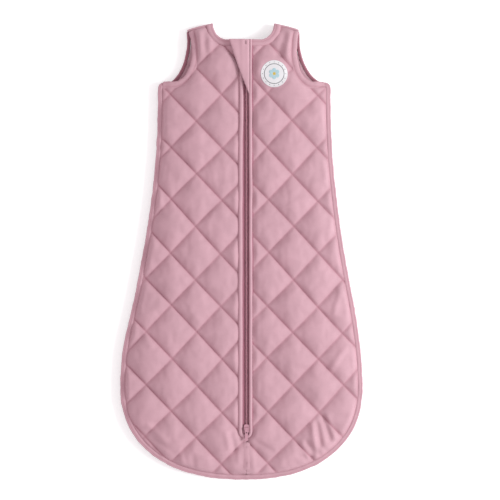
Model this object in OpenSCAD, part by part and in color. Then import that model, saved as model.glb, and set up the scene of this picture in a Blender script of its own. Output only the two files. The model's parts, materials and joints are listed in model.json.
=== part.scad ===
// Sleeveless quilted sleeping bag for a baby, lying on its back and zipped up.
// X runs across the bag, Y towards the neck, and Z up from the surface that the bag lies on.
// The origin is under the middle of the bag. The front opens along two straight creases,
// which run from the neck points to the foot of the zip.

/* [Bag] */
// Length from the neck points to the end of the foot
bag_len = 685; // [660:5:710]
// Half of the width under the arms
chest_half = 129; // [122:1:136]
// Half of the width at the widest part of the foot
foot_half = 180; // [165:1:190]
// Height of the rounded foot
foot_depth = 140.5; // [125:0.5:155]
// Half of the distance between the neck points
neck_half = 46; // [42:1:50]
// How far the front neckline lies below the neck points
front_neck_drop = 24.5; // [20:0.5:28]
// How far the back neckline lies below the neck points
back_neck_drop = 26; // [22:0.5:30]
// How far the underarm lies below the neck points
underarm_drop = 87.5; // [80:0.5:95]
// Width of the bindings
binding_w = 8; // [6:0.5:9]

/* [Layers] */
// Thickness of an outer or an inner fabric
fabric_t = 1; // [0.6:0.1:1.4]
// Thickness of the wadding
wadding_t = 6; // [4:0.5:7]
// Room between the back and the front of the empty bag
room = 9; // [8:0.5:14]

/* [Zip] */
// How far the zip lies to the right of the middle
zip_x = 4.5; // [0:0.5:6]
// Place of the zip's foot along the bag
zip_foot = -285; // [-295:1:-275]
// Half of the width of the gap that the zip and its facings fill
slot_half = 11.5; // [11.5:0.5:14]
// How far the slider travels
travel = 560; // [520:5:560]

/* [Trim] */
// Diameter of the round patch
patch_d = 40.5; // [30:0.5:44]
// Length of the chin guard
guard_len = 82; // [60:1:90]

/* [Hidden] */
$fn = 32;

LEFT = -1;
RIGHT = 1;
rose = [0.80, 0.62, 0.68];
dusk = [0.62, 0.43, 0.50];
cream = [0.93, 0.90, 0.87];

// Heights of the layers. The back lies on the ground and the front lies above the room.
sheet_t = 2 * fabric_t + wadding_t;
front_z = sheet_t + room;
top_z = front_z + sheet_t;
crease_z = top_z + 0.6;

// Lengthwise places
half_len = bag_len / 2;
foot_y = -half_len + foot_depth;
underarm_y = half_len - underarm_drop;

// The neckline is flat in the middle and round at its ends. The shoulders slope down outwards.
neck_flat = 25;
shoulder_slope = 9 / 39;

// Each armhole is straight at the top and ends in a quarter of an ellipse: its first x, the
// ellipse's width, and how far the ellipse starts below the neck points.
front_arm = [78.5, 26, 42.5];
back_arm = [85, 28, 26.5];

// Bindings stand a little proud of the fabric, and the seams that join front and back are
// thinner than the whole bag.
proud = 0.4;
edge_low = 4;
edge_high = top_z - 4;

// Space between the parts that swing and the parts that stay
fold_gap = 0.25;
// Half of the space between the two halves of the front below the zip
seam_gap = 0.1;
// Above this place the front is split along the creases
split_y = zip_foot + 60;
far_y = half_len + 60;
// More than the bag's length
reach = bag_len + 200;

// Zip
tape_z = top_z - 3.5;
tape_t = 0.8;
teeth_half = 2.4;
teeth_t = 2.2;
teeth_gap = 0.2;
tape_half = slot_half - 0.3;
facing_in = 5.2;
facing_out = slot_half - 0.2;
zip_low = zip_foot + 1;
neck_y = half_len - front_neck_drop;
teeth_low = zip_foot + 17.2;
teeth_high = neck_y - 14;

// Slider: half of its plates' width, its length, and how its plates stand off the tape
slider_half = 4.4;
slider_len = 12;
slider_y = zip_foot + 20;
plate_off = 1.4;
plate_t = 1.2;
post_r = 1.3;
post_y = -4.6;
pin_z = top_z + 1;
pin_r = 0.6;
eye_r = 1.5;
eye_half = 2.3;
pull_len = 18.5;

// Chin guard
guard_x = 7.6;
guard_w = 29.2;
guard_z = top_z + 1;
guard_t = 1.6;

function smooth(t) = t * t * (3 - 2 * t);
function mirrored(points) = [for (k = [len(points) - 1:-1:0]) [-points[k][0], points[k][1]]];
function reversed(points) = [for (k = [len(points) - 1:-1:0]) points[k]];
function shoulder_y(x) = half_len - (x - neck_half) * shoulder_slope;

// Half of the bag's width at a place between the underarm and the foot: straight at the chest
// and flared below it
function half_width(y) =
    let (t = (underarm_y - y) / (underarm_y - foot_y))
    chest_half + (foot_half - chest_half) * smooth(pow(t, 1.35));

// Right half of a neckline, set in by i
function neck_curve(i, drop) = concat(
    [for (a = [-90:15:-15])
        [neck_flat + (neck_half - neck_flat + i) * cos(a), half_len + (drop + i) * sin(a)]],
    [[neck_half + i, shoulder_y(neck_half + i)]]
);

// Right armhole, from the shoulder to the underarm, set in by i
function arm_curve(i, arm) =
    let (start_y = half_len - arm[2], depth = start_y - underarm_y)
    concat(
        [[arm[0] - i, shoulder_y(arm[0] - i)]],
        [for (a = [0:15:90])
            [arm[0] + arm[1] - (arm[1] + i) * cos(a), start_y - (depth + i) * sin(a)]]
    );

// Right side from the underarm's round corner to the start of the foot, set in by i
function side_curve(i) =
    let (corner = [chest_half - binding_w, underarm_y - binding_w], r = binding_w - i)
    concat(
        r > 0 ? [for (a = [90:-30:0]) corner + r * [cos(a), sin(a)]] : [corner],
        [for (k = [1:13])
            let (y = corner[1] - k * (corner[1] - foot_y) / 14) [half_width(y) - i, y]]
    );

// Right half of the rounded foot, set in by i
function foot_curve(i) =
    [for (a = [0:6:90])
        [(foot_half - i) * pow(cos(a), 2 / 2.25), foot_y - (foot_depth - i) * pow(sin(a), 2 / 2.25)]];

function right_edge(i, arm, drop) =
    concat(neck_curve(i, drop), arm_curve(i, arm), side_curve(i), foot_curve(i));

// Where a crease lies across the bag, at a place along it
function crease_x(side, y) =
    zip_x + side * (neck_half - side * zip_x) * (y - zip_foot) / (half_len - zip_foot);

module layer(z, t) translate([0, 0, z]) linear_extrude(t) children();

module outline(i, arm, drop) {
    right = right_edge(i, arm, drop);
    left = mirrored(right);
    polygon(concat(right, [for (k = [1:len(left) - 1]) left[k]]));
}

// The strip between a curve and the same curve set in
module band(outer, inner) polygon(concat(outer, reversed(inner)));

module on_side(side) scale([side, 1, 1]) children();

// The part of the front between the zip's middle and a crease, moved outwards by gap
module fold_area(side, gap)
    polygon([
        [zip_x, split_y], [zip_x, far_y],
        [crease_x(side, far_y) + side * gap, far_y],
        [crease_x(side, split_y) + side * gap, split_y]
    ]);

// One half of the front inside its bindings, without the gap for the zip
module front_half(side)
    difference() {
        outline(binding_w, front_arm, front_neck_drop);
        translate([zip_x - slot_half, zip_foot - 1]) square([2 * slot_half, reach]);
        translate([zip_x + side * seam_gap - (side > 0 ? reach : 0), -reach / 2]) square(reach);
    }

// The part that stays, and the part that folds outwards
module still_half(side) difference() { front_half(side); fold_area(side, fold_gap); }
module lapel_half(side) intersection() { front_half(side); fold_area(side, -fold_gap); }

module back_area() outline(binding_w, back_arm, back_neck_drop);

module back_shell() color(rose) layer(0, fabric_t) back_area();
module back_wadding() color(cream) layer(fabric_t, wadding_t) back_area();
module back_lining() color(rose) layer(fabric_t + wadding_t, fabric_t) back_area();

// A blank label that lies flat on the back lining, below the neckline
module care_label() color("white") layer(sheet_t, 0.5) translate([-15, neck_y - 50]) square([30, 36]);

module front_lining(z) color(rose) layer(z, fabric_t) children();
module left_front_lining() front_lining(front_z) still_half(LEFT);
module right_front_lining() front_lining(front_z) still_half(RIGHT);
module left_lapel_lining() front_lining(front_z) lapel_half(LEFT);
module right_lapel_lining() front_lining(front_z) lapel_half(RIGHT);

module front_wadding() color(cream) layer(front_z + fabric_t, wadding_t) children();
module left_front_wadding() front_wadding() still_half(LEFT);
module right_front_wadding() front_wadding() still_half(RIGHT);
module left_lapel_wadding() front_wadding() lapel_half(LEFT);
module right_lapel_wadding() front_wadding() lapel_half(RIGHT);

module front_shell() color(rose) layer(top_z - fabric_t, fabric_t) children();
module left_front_shell() front_shell() still_half(LEFT);
module right_front_shell() front_shell() still_half(RIGHT);
module left_lapel_shell() front_shell() lapel_half(LEFT);
module right_lapel_shell() front_shell() lapel_half(RIGHT);

// The bound seams that close the bag, down each side and round the foot
module side_band(side)
    on_side(side) band(
        concat(side_curve(0), [[foot_half, foot_y]]),
        concat(side_curve(binding_w), [[foot_half - binding_w, foot_y]])
    );
module left_side_binding() color(rose) layer(edge_low, edge_high - edge_low) side_band(LEFT);
module right_side_binding() color(rose) layer(edge_low, edge_high - edge_low) side_band(RIGHT);
module hem_binding()
    color(rose) layer(edge_low, edge_high - edge_low) {
        outer = foot_curve(0);
        inner = foot_curve(binding_w);
        for (side = [LEFT, RIGHT]) on_side(side) band(outer, inner);
    }

// Bindings of the neck and the armholes, as thick as the sheets they bind
module neck_band(side, drop)
    on_side(side) band(
        concat([[0, half_len - drop]], neck_curve(0, drop)),
        concat([[0, half_len - drop - binding_w]], neck_curve(binding_w, drop))
    );
module front_binding() color(rose) layer(front_z, sheet_t + proud) children();
module back_binding() color(rose) layer(proud, sheet_t) children();

module back_neck_binding()
    for (side = [LEFT, RIGHT]) {
        back_binding() neck_band(side, back_neck_drop);
        front_binding() difference() {
            neck_band(side, front_neck_drop);
            fold_area(side, fold_gap);
            translate([zip_x - neck_half / 2, 0]) square([neck_half, reach]);
        }
    }
module lapel_neck_binding(side)
    front_binding() difference() {
        intersection() { neck_band(side, front_neck_drop); fold_area(side, -fold_gap); }
        translate([zip_x - slot_half, 0]) square([2 * slot_half, reach]);
    }
module left_neck_binding() lapel_neck_binding(LEFT);
module right_neck_binding() lapel_neck_binding(RIGHT);

module armhole_binding(side)
    on_side(side) {
        last = [chest_half - binding_w, underarm_y];
        end = last - [0, binding_w];
        front_binding() band(
            concat(arm_curve(0, front_arm), [last]), concat(arm_curve(binding_w, front_arm), [end]));
        back_binding() band(
            concat(arm_curve(0, back_arm), [last]), concat(arm_curve(binding_w, back_arm), [end]));
    }
module left_armhole_binding() armhole_binding(LEFT);
module right_armhole_binding() armhole_binding(RIGHT);

// Each shoulder seam joins the back to the front above the room
module shoulder_seam(side)
    on_side(side) color(rose) layer(sheet_t, room) {
        inner = neck_half + binding_w;
        outer = front_arm[0] - binding_w;
        polygon([
            [inner, shoulder_y(inner)], [outer, shoulder_y(outer)],
            [outer, shoulder_y(outer) - 5], [inner, shoulder_y(inner) - 5]
        ]);
    }
module left_shoulder_seam() shoulder_seam(LEFT);
module right_shoulder_seam() shoulder_seam(RIGHT);

// The seam below the zip's foot
module centre_front_seam()
    color(rose) layer(top_z, proud)
        translate([zip_x - 2, -half_len + binding_w + 3]) square([4, zip_foot - 8 + half_len - binding_w - 3]);

// A strip of the zip, between two distances from the zip's middle
module zip_strip(side, near, far, low, high)
    translate([zip_x, 0]) on_side(side) translate([near, low]) square([far - near, high - low]);

module zip_facing(side)
    color(rose) layer(tape_z + tape_t / 2, top_z + proud - tape_z - tape_t / 2)
        zip_strip(side, facing_in, facing_out, zip_low, neck_y);
module left_zip_facing() zip_facing(LEFT);
module right_zip_facing() zip_facing(RIGHT);

module zip_tape(side)
    color(dusk) layer(tape_z - tape_t / 2, tape_t)
        zip_strip(side, teeth_half, tape_half, zip_low, neck_y - 1);
module left_zip_tape() zip_tape(LEFT);
module right_zip_tape() zip_tape(RIGHT);

module zip_teeth(side)
    color(dusk) layer(tape_z - teeth_t / 2, teeth_t)
        zip_strip(side, teeth_gap, teeth_half, teeth_low, teeth_high);
module left_zip_teeth() zip_teeth(LEFT);
module right_zip_teeth() zip_teeth(RIGHT);

// At the neck the pin on the left tape stands beside the box on the right tape
module insertion_pin()
    color(dusk) layer(tape_z - 1, 2) zip_strip(LEFT, 0.6, teeth_half, teeth_high + 0.2, neck_y - 3);
module retaining_box()
    color(dusk) layer(tape_z + tape_t / 2, 1.4) zip_strip(RIGHT, 0.6, 4.6, teeth_high + 0.2, neck_y - 4);

// A stop closes the zip's foot, and a row of stitches holds the ends of the facings
module zip_bottom_stop()
    color(dusk) layer(tape_z - 1.2, 2.4) translate([zip_x - teeth_half, zip_foot - 0.6])
        square([2 * teeth_half, 1.4]);
module zip_foot_tack()
    color(rose) layer(top_z, proud) translate([zip_x - 9, zip_foot - 5]) square([18, 2.5]);

// A strip inside the bag keeps the zip off the baby
module inner_zip_guard()
    color(rose) layer(front_z - 1.6, 1.2)
        translate([zip_x - 14, zip_foot + 3]) square([40, neck_y - 6 - zip_foot - 3]);

// Two plates joined by a post. Their folded edges keep the teeth in, and two ears hold the
// pull's pin.
module slider_plate()
    polygon([
        [-slider_half, -slider_len / 2], [slider_half, -slider_len / 2],
        [slider_half, 1], [slider_half - 1, slider_len / 2 - 1], [slider_half - 2, slider_len / 2],
        [2 - slider_half, slider_len / 2], [1 - slider_half, slider_len / 2 - 1], [-slider_half, 1]
    ]);
module slider_body()
    color(rose) translate([zip_x, slider_y, tape_z]) {
        for (z = [plate_off, -plate_off - plate_t]) layer(z, plate_t) slider_plate();
        layer(-plate_off, 2 * plate_off) translate([0, post_y]) circle(post_r);
        for (side = [LEFT, RIGHT], z = [-plate_off, plate_off - 0.7])
            layer(z, 0.7) on_side(side) translate([slider_half - 0.8, -slider_len / 2])
                square([0.8, slider_len / 2 + 1]);
        for (side = [LEFT, RIGHT])
            layer(plate_off + plate_t, pin_z + 1.2 - tape_z - plate_off - plate_t)
                on_side(side) translate([eye_half + 0.3, -1.6]) square([0.9, 3.2]);
        translate([-eye_half - 0.5, 0, pin_z - tape_z])
            rotate([0, 90, 0]) cylinder(r = pin_r, h = 2 * eye_half + 1);
    }

module pull_tab()
    color(rose) translate([zip_x, slider_y, pin_z])
        difference() {
            union() {
                translate([-eye_half, 0, 0]) rotate([0, 90, 0]) cylinder(r = eye_r, h = 2 * eye_half);
                layer(-0.7, 1.4) difference() {
                    union() {
                        translate([-2.1, -pull_len + 2.5]) square([4.2, pull_len - 2.5]);
                        translate([0, -pull_len + 2.5]) circle(2.5);
                    }
                    translate([0, -6]) circle(1);
                }
            }
            translate([-eye_half - 1, 0, 0]) rotate([0, 90, 0]) cylinder(r = pin_r + 0.3, h = 2 * eye_half + 2);
        }

// A soft triangle covers the top of the zip. It folds back about its right edge.
module chin_guard()
    color(rose) layer(guard_z, guard_t)
        polygon([[guard_x, neck_y], [guard_x, neck_y - guard_len], [guard_x - guard_w, neck_y]]);
module chin_guard_tack()
    color(rose) layer(guard_z + guard_t, proud) translate([guard_x - 5, neck_y - 8]) square([3, 5]);

module round_patch() color("white") layer(top_z, 0.5) translate([46, 266]) circle(d = patch_d, $fn = 64);

back_shell();
back_wadding();
back_lining();
care_label();
left_front_shell();
left_front_wadding();
left_front_lining();
right_front_shell();
right_front_wadding();
right_front_lining();
left_lapel_shell();
left_lapel_wadding();
left_lapel_lining();
right_lapel_shell();
right_lapel_wadding();
right_lapel_lining();
left_side_binding();
right_side_binding();
hem_binding();
back_neck_binding();
left_neck_binding();
right_neck_binding();
left_armhole_binding();
right_armhole_binding();
left_shoulder_seam();
right_shoulder_seam();
centre_front_seam();
left_zip_facing();
right_zip_facing();
left_zip_tape();
right_zip_tape();
left_zip_teeth();
right_zip_teeth();
insertion_pin();
retaining_box();
zip_bottom_stop();
zip_foot_tack();
inner_zip_guard();
slider_body();
pull_tab();
chin_guard();
chin_guard_tack();
round_patch();
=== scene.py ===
"""A sleeveless quilted sleeping bag for a baby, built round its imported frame.
Shapes are worked out in millimetres and made in metres."""
import json
import math

import bmesh
import bpy
import numpy as np
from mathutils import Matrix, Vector, noise
from mathutils.bvhtree import BVHTree
from mathutils.geometry import delaunay_2d_cdt

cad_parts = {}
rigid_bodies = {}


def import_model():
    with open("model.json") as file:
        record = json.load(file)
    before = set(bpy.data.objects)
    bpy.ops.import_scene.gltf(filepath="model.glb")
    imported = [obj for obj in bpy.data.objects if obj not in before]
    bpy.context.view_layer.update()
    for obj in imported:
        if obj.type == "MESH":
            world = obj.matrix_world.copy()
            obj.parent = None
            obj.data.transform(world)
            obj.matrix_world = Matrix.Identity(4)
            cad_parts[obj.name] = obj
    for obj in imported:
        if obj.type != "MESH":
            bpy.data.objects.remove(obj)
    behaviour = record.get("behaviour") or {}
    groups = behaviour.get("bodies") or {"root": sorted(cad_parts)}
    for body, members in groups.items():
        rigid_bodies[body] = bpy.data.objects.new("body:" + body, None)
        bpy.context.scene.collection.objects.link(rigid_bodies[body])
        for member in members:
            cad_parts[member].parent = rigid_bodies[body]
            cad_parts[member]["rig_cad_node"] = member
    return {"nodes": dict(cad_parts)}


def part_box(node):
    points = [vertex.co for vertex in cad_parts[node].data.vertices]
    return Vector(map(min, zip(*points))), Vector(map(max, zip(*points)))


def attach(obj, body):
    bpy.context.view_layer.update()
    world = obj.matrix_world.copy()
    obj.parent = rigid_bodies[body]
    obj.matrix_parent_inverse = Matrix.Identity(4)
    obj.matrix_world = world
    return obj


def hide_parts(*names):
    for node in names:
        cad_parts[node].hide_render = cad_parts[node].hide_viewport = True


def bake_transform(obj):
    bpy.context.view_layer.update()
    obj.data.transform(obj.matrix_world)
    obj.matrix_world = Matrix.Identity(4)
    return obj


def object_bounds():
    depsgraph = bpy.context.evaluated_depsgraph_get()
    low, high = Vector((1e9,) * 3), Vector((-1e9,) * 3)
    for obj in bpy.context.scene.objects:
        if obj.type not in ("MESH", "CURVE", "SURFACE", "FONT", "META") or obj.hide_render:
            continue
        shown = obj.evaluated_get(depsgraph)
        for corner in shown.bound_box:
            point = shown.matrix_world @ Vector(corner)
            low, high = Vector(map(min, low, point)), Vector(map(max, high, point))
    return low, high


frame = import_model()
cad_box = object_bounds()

MM = 0.001
SIDES = {"left": -1, "right": 1}


# ---------------------------------------------------------------- sizes, from the frame


def box(node):
    """A node's lowest and highest corner, in millimetres."""
    low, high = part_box(node)
    return np.array(low) / MM, np.array(high) / MM


HALF_LEN = cad_box[1][1] / MM
SLIDER = box("slider_body")
GUARD = box("chin_guard")
PATCH = box("round_patch")
FACING = box("right_zip_facing")
TAPE = box("right_zip_tape")
TEETH = box("right_zip_teeth")
ZIP_X = (SLIDER[0][0] + SLIDER[1][0]) / 2
ZIP_FOOT = FACING[0][1]
FOOT_HALF = box("hem_binding")[1][0]
FOOT_Y = box("hem_binding")[1][1]
UNDERARM_Y = box("right_side_binding")[1][1]
SIDE_IN = box("right_side_binding")[0][0]
NECK_Y = FACING[1][1]
NECK_HALF = 46
BINDING = 8
# visible width of the bindings at the back of an armhole, at its front, and at the front of the neck
BACK_BINDING, ARM_BINDING, NECK_BINDING = 5, 10.6, 10
CHEST_HALF = SIDE_IN + BINDING
SLOT_HALF = box("right_lapel_shell")[0][0] - ZIP_X
TOP_Z = box("left_front_shell")[1][2]
SHOULDER_SLOPE = 9 / 39
NECK_FLAT = 25
NECK_DROP = {"front": HALF_LEN - NECK_Y, "back": HALF_LEN - NECK_Y + 1.5}
# an armhole's narrowest x, width of its ellipse, where the ellipse starts below the neck points,
# and its flare above that
ARM = {
    ("front", -1): (76.8, 27.7, 42.5, 6.5), ("front", 1): (79.6, 24.9, 42.5, 4.2),
    ("back", -1): (84.8, 28.2, 26.5, 1.0), ("back", 1): (84.4, 34.6, 26.5, 0.2),
}
ARM_ROUND = {"front": 1.0, "back": 1.17}
# the foot's outline is an ellipse of this power, where 2 is a plain ellipse
FOOT_SQUARE = 2.3


def smooth(t):
    t = np.clip(t, 0, 1)
    return t * t * (3 - 2 * t)


def bell(distance, wide):
    """1 at no distance, falling smoothly to about 0 at twice wide."""
    return np.exp(-((distance / wide) ** 2))


def rounded(distance, reach, power=2.4):
    """0 at an edge, rising like a padded rim to 1 at reach from it."""
    return 1 - np.clip(1 - distance / reach, 0, 1) ** power


def half_width(y, side):
    """Distance from the middle to one side. The two sides don't lie quite alike."""
    t = np.clip((UNDERARM_Y - y) / (UNDERARM_Y - FOOT_Y), 0, 1)
    lies = foot_slack(side) * smooth((-60 - y) / 110) + (2.2 if side > 0 else 0) * smooth((y + 40) / 150)
    return CHEST_HALF + (FOOT_HALF - CHEST_HALF) * smooth(t**1.35) + lies


def foot_slack(side):
    return -0.5 if side > 0 else 5.5


def shoulder_y(x):
    bow = 1.3 - 1.3 * ((x - NECK_HALF - 12) / 28) ** 2
    return HALF_LEN - (x - NECK_HALF) * SHOULDER_SLOPE + bow


def neck_curve(inset, part):
    """Right half of a neckline, from the middle to the shoulder."""
    drop = NECK_DROP[part] + inset
    wide = NECK_HALF - NECK_FLAT + inset
    arc = [
        (NECK_FLAT + wide * math.cos(a), HALF_LEN + drop * math.sin(a))
        for a in np.radians(np.arange(-90, -8, 7.5))
    ]
    shoulder = (NECK_HALF + inset, shoulder_y(NECK_HALF + inset))
    return [(x, HALF_LEN - drop) for x in (0, 8, 16)] + arc + [shoulder]


def arm_curve(inset, part, side):
    """One armhole, from the shoulder to the underarm. The right one shows more of the back."""
    first, wide, start, flare = ARM[part, side]
    start = HALF_LEN - start
    depth = start - UNDERARM_Y
    tip = shoulder_y(first + flare)
    above = [(first - inset + flare * t * t, start + (tip - start) * t) for t in (1, 0.8, 0.6, 0.4, 0.2)]
    e = ARM_ROUND[part]
    arc = [
        (first + wide - (wide + inset) * abs(math.cos(a)) ** e, start - (depth + inset) * math.sin(a) ** e)
        for a in np.radians(np.arange(0, 91, 7.5))
    ]
    return above + arc


def side_curve(inset, side):
    """One side, from the underarm's corner to the start of the foot."""
    r = max(BINDING - inset, 0.01)
    corner = (half_width(UNDERARM_Y, side) - inset - r, UNDERARM_Y - inset - r)
    arc = [(corner[0] + r * math.cos(a), corner[1] + r * math.sin(a)) for a in np.radians((75, 50, 25))]
    ys = np.linspace(corner[1] - 4, FOOT_Y, 40)
    return arc * (inset < BINDING) + [(half_width(y, side) - inset, y) for y in ys]


def foot_curve(inset, side):
    """One half of the rounded foot, from the side to the middle."""
    deep = FOOT_Y + HALF_LEN + 1.2 - inset
    wide = FOOT_HALF + foot_slack(side) - inset
    e = 2 / FOOT_SQUARE
    turn = np.radians(np.linspace(3, 90, 30))
    return [(wide * math.cos(a) ** e, FOOT_Y - deep * math.sin(a) ** e) for a in turn]


def lengths_along(points):
    """Each point's distance from the first, along their line."""
    return np.concatenate([[0], np.cumsum(np.linalg.norm(np.diff(points, axis=0), axis=1))])


def resample(points, step, closed=False):
    """Points an even distance apart along a line."""
    p = np.array(points, float)
    if closed:
        p = np.vstack([p, p[:1]])
    s = lengths_along(p)
    n = max(int(round(s[-1] / step)), 2)
    at = np.linspace(0, s[-1], n + 1)
    out = np.column_stack([np.interp(at, s, p[:, k]) for k in range(p.shape[1])])
    return out[:-1] if closed else out


def rim_of(outline, step=3.4):
    """Points evenly round an outline, and the same points closed into a loop."""
    rim = resample(outline, step, closed=True)
    return rim, np.vstack([rim, rim[:1]])


def distance_to(points, line):
    """Each point's distance to a line of points."""
    best = np.full(len(points), np.inf)
    for p, v in zip(line[:-1], np.diff(line, axis=0)):
        t = np.clip(((points - p) @ v) / max(v @ v, 1e-12), 0, 1)
        best = np.minimum(best, np.linalg.norm(points - p - t[:, None] * v, axis=1))
    return best


def noises(*places):
    """Smooth noise from about -1 to 1 at each place, given by its three coordinates."""
    return np.array([noise.noise(p) for p in zip(*np.broadcast_arrays(*places))])


def ripple(x, y, size_x, size_y, seed=0.0):
    """Smooth noise in the plane, with waves of these sizes."""
    return noises(x / size_x + seed, y / size_y, seed * 1.7)


def ring(across, up, count):
    """Profile of a round or oval cord."""
    return [(across * math.cos(a), up * math.sin(a)) for a in np.linspace(0, 2 * math.pi, count + 1)[:-1]]


# ---------------------------------------------------------------- meshes


def link(obj):
    bpy.context.scene.collection.objects.link(obj)
    return obj


def make_mesh(name, verts, faces, uv=None, smooth_faces=True):
    """A mesh object from points in millimetres. uv gives each point's place in the weave, in millimetres."""
    mesh = bpy.data.meshes.new(name)
    points = [tuple(v) for v in np.asarray(verts) * MM]
    mesh.from_pydata(points, [], [tuple(int(i) for i in f) for f in faces])
    if uv is not None:
        layer = mesh.uv_layers.new(name="weave")
        loops = np.zeros(len(mesh.loops), int)
        mesh.loops.foreach_get("vertex_index", loops)
        layer.data.foreach_set("uv", (np.asarray(uv)[loops] * 0.01).ravel())
    mesh.polygons.foreach_set("use_smooth", [smooth_faces] * len(mesh.polygons))
    mesh.validate()
    mesh.update()
    return link(bpy.data.objects.new(name, mesh))


def apply_modifiers(obj):
    """Replaces an object's mesh by what its modifiers make of it."""
    made = bpy.data.meshes.new_from_object(obj.evaluated_get(bpy.context.evaluated_depsgraph_get()))
    obj.modifiers.clear()
    obj.data = made
    made.polygons.foreach_set("use_smooth", [True] * len(made.polygons))
    return obj


def subdivide(obj, levels=1):
    m = obj.modifiers.new("subdivide", "SUBSURF")
    m.levels = m.render_levels = levels
    return apply_modifiers(obj)


def mesh_points(mesh):
    """A mesh's points, in millimetres."""
    co = np.zeros(len(mesh.vertices) * 3)
    mesh.vertices.foreach_get("co", co)
    return co.reshape(-1, 3) / MM


def face_outwards(obj):
    bm = bmesh.new()
    bm.from_mesh(obj.data)
    bmesh.ops.recalc_face_normals(bm, faces=bm.faces)
    bm.to_mesh(obj.data)
    bm.free()
    return obj


def closed_sheet(name, top, bottom, faces):
    """A closed thin solid between two surfaces that share their faces."""
    n = len(top)
    edges = dict.fromkeys(pair for f in faces for pair in zip(f, f[1:] + f[:1]))
    walls = [(b, a, a + n, b + n) for a, b in edges if (b, a) not in edges]
    all_faces = list(faces) + [tuple(i + n for i in reversed(f)) for f in faces] + walls
    verts = np.vstack([top, bottom])
    return make_mesh(name, verts, all_faces, uv=np.vstack([top[:, :2], bottom[:, :2]]))


def sweep(name, path, profile, closed=False, swell=None):
    """A tube along a path, with a profile of (across, up) points.
    Across points to the right of the path's way, and swell scales the profile at each place."""
    path = np.asarray(path, float)
    n, m = len(path), len(profile)
    if closed:
        ahead = np.roll(path, -1, 0) - np.roll(path, 1, 0)
    else:
        ahead = np.gradient(path, axis=0)
    ahead /= np.linalg.norm(ahead, axis=1)[:, None]
    right = np.cross(ahead, (0, 0, 1))
    right /= np.linalg.norm(right, axis=1)[:, None]
    up = np.cross(right, ahead)
    length, around = lengths_along(path), lengths_along(np.array(profile))
    verts, uv = [], []
    for k in range(n):
        s = 1 if swell is None else swell[k]
        for j, (a, b) in enumerate(profile):
            verts.append(path[k] + right[k] * a * s + up[k] * b * s)
            uv.append((around[j], length[k]))
    faces = []
    for k in range(n if closed else n - 1):
        k2 = (k + 1) % n
        for j in range(m):
            j2 = (j + 1) % m
            faces.append((k * m + j, k * m + j2, k2 * m + j2, k2 * m + j))
    if not closed:
        faces += [tuple(range(m - 1, -1, -1)), tuple((n - 1) * m + j for j in range(m))]
    return face_outwards(make_mesh(name, verts, faces, uv=uv))


def join(name, objs):
    """One object from several meshes."""
    bm = bmesh.new()
    mats = []
    for o in objs:
        first = len(bm.faces)
        bm.from_mesh(o.data)
        bm.faces.ensure_lookup_table()
        here = [s.material for s in o.material_slots]
        for m in here:
            if m not in mats:
                mats.append(m)
        for f in bm.faces[first:]:
            f.material_index = mats.index(here[f.material_index]) if here else 0
    mesh = bpy.data.meshes.new(name)
    bm.to_mesh(mesh)
    bm.free()
    for m in mats:
        mesh.materials.append(m)
    for o in objs:
        bpy.data.objects.remove(o)
    return link(bpy.data.objects.new(name, mesh))


# ---------------------------------------------------------------- materials


class Nodes:
    """Short calls for a material's nodes."""

    def __init__(self, name):
        self.mat = bpy.data.materials.new(name)
        self.mat.use_nodes = True
        self.tree = self.mat.node_tree
        self.shader = self.tree.nodes["Principled BSDF"]

    def add(self, kind, **values):
        node = self.tree.nodes.new(kind)
        for key, value in values.items():
            if key in node.inputs:
                node.inputs[key].default_value = value
            else:
                setattr(node, key, value)
        return node

    def link(self, a, out, b, into):
        self.tree.links.new(a.outputs[out], b.inputs[into])

    def math(self, operation, a, b=None):
        node = self.add("ShaderNodeMath", operation=operation)
        for k, v in enumerate((a, b)):
            if v is None:
                continue
            if isinstance(v, tuple):
                self.link(*v, node, k)
            else:
                node.inputs[k].default_value = v
        return node, "Value"

    def ramp(self, low, high, ends=(0, 1)):
        """A ramp from one colour to another, between two values."""
        node = self.add("ShaderNodeValToRGB")
        for element, colour, end in zip(node.color_ramp.elements, (low, high), ends):
            element.position = end
            element.color = (*colour, 1)
        return node

    def multiplied(self, colour, ramp, share=1.0):
        """A colour darkened by a share of a ramp's colour."""
        node = self.add("ShaderNodeMix", data_type="RGBA", blend_type="MULTIPLY")
        node.inputs[0].default_value = share
        self.tree.links.new(colour, node.inputs[6])
        self.link(ramp, "Color", node, 7)
        return node.outputs[2]


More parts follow.
